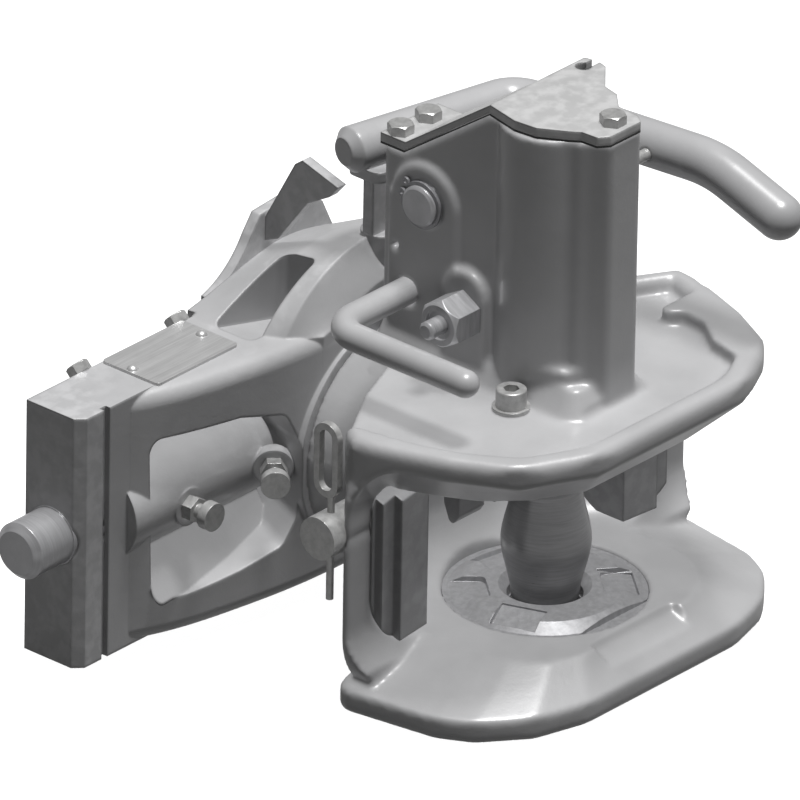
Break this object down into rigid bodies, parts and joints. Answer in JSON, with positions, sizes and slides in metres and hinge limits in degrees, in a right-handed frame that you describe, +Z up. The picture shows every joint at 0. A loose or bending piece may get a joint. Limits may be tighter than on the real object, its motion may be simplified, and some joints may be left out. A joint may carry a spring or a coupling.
{
  "type": "trailer coupling",
  "caption": "Automatic pin coupling for a tractor's trailer: a barrel-shaped pin drops into an open jaw, which swivels in a cast carrier held between rails by locking pins",
  "frame": {"origin": "coupling point, where the axis of the coupling pin meets the axis of the swivel", "axes": "x across the coupling to the side of the hand lever, y away from the trailer along the swivel axis, z up along the pin"},
  "size_m": [0.374, 0.22, 0.2515],
  "materials": {
    "casting": "painted grey casting, slightly rough",
    "machined": "machined steel",
    "hardened": "hardened and ground steel",
    "zinc": "zinc plated",
    "bar": "painted grey bar",
    "sheet": "light grey painted sheet",
    "spring": "spring steel",
    "seal": "matt black",
    "plate": "bare anodised plate",
    "bush": "bearing bronze"
  },
  "bodies": {
    "carrier": {"carrier": "casting", "rating_plate": "plate", "plate_rivets": "plate", "lube_nipples": "zinc", "guard_plate": "bar", "back_plate": "bar", "edge_screws": "zinc", "left_lock_spring": "spring", "right_lock_spring": "spring"},
    "jaw": {"jaw_housing": "casting", "pin_guide_bush": "bush", "wear_insert": "machined", "lower_bush": "hardened", "top_cover": "sheet", "cover_gasket": "seal", "cover_screws": "zinc", "indicator_sleeve": "machined", "clamp_screw": "zinc", "clamp_washer": "zinc", "left_wing": "bar", "right_wing": "bar", "side_pin": "zinc", "linch_clip": "zinc", "trigger_axle": "machined", "closing_spring": "spring", "shank_washer": "machined", "shank_nut": "zinc", "cotter_pin": "zinc"},
    "pin": {"coupling_pin": "hardened", "cross_pin": "hardened"},
    "lift": {"lift_shaft": "machined", "shaft_circlips": "spring", "lift_fork": "machined"},
    "release": {"release_lever": "bar", "release_cam": "machined"},
    "indicator": {"indicator_pin": "machined"},
    "trigger": {"trigger_lever": "bar"},
    "lever": {"hand_lever": "bar", "lever_plate": "bar", "lever_post": "bar", "lock_cam": "machined", "wire_hook": "zinc"},
    "left_lock": {"left_lock_pin": "hardened"},
    "right_lock": {"right_lock_pin": "hardened"}
  },
  "joints": [
    {"name": "swivel", "type": "hinge", "parent": "carrier", "child": "jaw", "pos_m": [0, 0, 0], "axis": [0, 1, 0], "range_deg": [-12, 12]},
    {"name": "pin_lift", "type": "slide", "parent": "jaw", "child": "pin", "axis": [0, 0, 1], "range_m": [0, 0.076]},
    {"name": "lift_turn", "type": "hinge", "parent": "jaw", "child": "lift", "pos_m": [0, 0.053, 0.12545], "axis": [-1, 0, 0], "range_deg": [0, 71.58]},
    {"name": "release_turn", "type": "hinge", "parent": "jaw", "child": "release", "pos_m": [0, 0.062, 0.082], "axis": [-1, 0, 0], "range_deg": [0, 55.5]},
    {"name": "indicator_slide", "type": "slide", "parent": "jaw", "child": "indicator", "axis": [1, 0, 0], "range_m": [0, 0.0081]},
    {"name": "trigger_swing", "type": "hinge", "parent": "jaw", "child": "trigger", "pos_m": [0, 0.036, 0.042], "axis": [1, 0, 0], "range_deg": [0, 10]},
    {"name": "lever_turn", "type": "hinge", "parent": "carrier", "child": "lever", "pos_m": [0.0065, 0.1, 0.088], "axis": [0, 0, 1], "range_deg": [0, 45]},
    {"name": "left_lock_slide", "type": "slide", "parent": "carrier", "child": "left_lock", "axis": [1, 0, 0], "range_m": [0, 0.0242], "deforming": ["left_lock_spring"]},
    {"name": "right_lock_slide", "type": "slide", "parent": "carrier", "child": "right_lock", "axis": [-1, 0, 0], "range_m": [0, 0.0242], "deforming": ["right_lock_spring"]}
  ],
  "couplings": [
    {"joint": "lift_turn", "follows": "pin_lift", "rad_per_m": 16.369},
    {"joint": "release_turn", "follows": "pin_lift", "rad_per_m": 12.631},
    {"joint": "indicator_slide", "follows": "pin_lift", "ratio": 0.10526},
    {"joint": "left_lock_slide", "follows": "lever_turn", "m_per_rad": 0.030558},
    {"joint": "right_lock_slide", "follows": "lever_turn", "m_per_rad": 0.030558}
  ]
}
